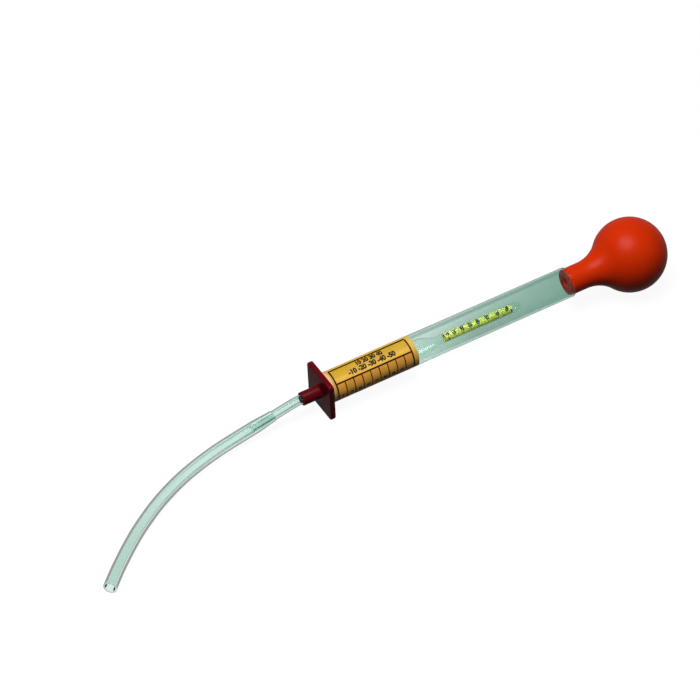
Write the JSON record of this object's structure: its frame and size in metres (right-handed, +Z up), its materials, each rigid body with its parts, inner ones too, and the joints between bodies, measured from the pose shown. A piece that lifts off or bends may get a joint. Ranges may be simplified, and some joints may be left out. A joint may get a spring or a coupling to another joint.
{
  "type": "antifreeze hydrometer",
  "caption": "Coolant hydrometer: clear barrel with a sliding weighted float, rubber squeeze bulb, printed label, square-flanged stopper, nozzle tube and clear pick-up hose.",
  "frame": {"origin": "on the table, under the middle of the instrument's box without the hose", "axes": "+X along the barrel towards the bulb, +Z up, lying on the flange and the bulb"},
  "size_m": [0.49, 0.1121, 0.054],
  "materials": {
    "barrel_glass": "clear with a slight green tint",
    "label_paper": "printed and varnished",
    "stopper_plastic": "moulded, semi gloss",
    "nozzle_clear": "clear",
    "hose_clear": "clear and flexible",
    "bulb_rubber": "satin red rubber",
    "float_envelope": "thin clear glass",
    "scale_paper": "rolled printed paper",
    "shot_metal": "dull grey shot",
    "seal_wax": "poured wax"
  },
  "bodies": {
    "barrel": {"barrel": "barrel_glass", "scale_label": "label_paper"},
    "float": {"float_glass": "float_envelope", "float_scale": "scale_paper", "ballast_shot": "shot_metal", "ballast_seal": "seal_wax"},
    "nose": {"nose_stopper": "stopper_plastic", "nozzle_tube": "nozzle_clear", "hose": "hose_clear"},
    "bulb": {"squeeze_bulb": "bulb_rubber"},
    "thumb_wall": {"bulb_thumb_wall": "bulb_rubber"}
  },
  "joints": [
    {"name": "float_slide", "type": "slide", "parent": "barrel", "child": "float", "axis": [0.9991, 0, 0.0435], "range_m": [0, 0.0369]},
    {"name": "bulb_squeeze", "type": "slide", "parent": "bulb", "child": "thumb_wall", "axis": [0.0435, 0, -0.9991], "range_m": [0, 0.014], "stiffness_N_per_m": 500},
    {"name": "bulb_pull", "type": "slide", "parent": "barrel", "child": "bulb", "axis": [0.9991, 0, 0.0435], "range_m": [0, 0.012]},
    {"name": "stopper_pull", "type": "slide", "parent": "barrel", "child": "nose", "axis": [-0.9991, 0, -0.0435], "range_m": [0, 0.02]}
  ]
}
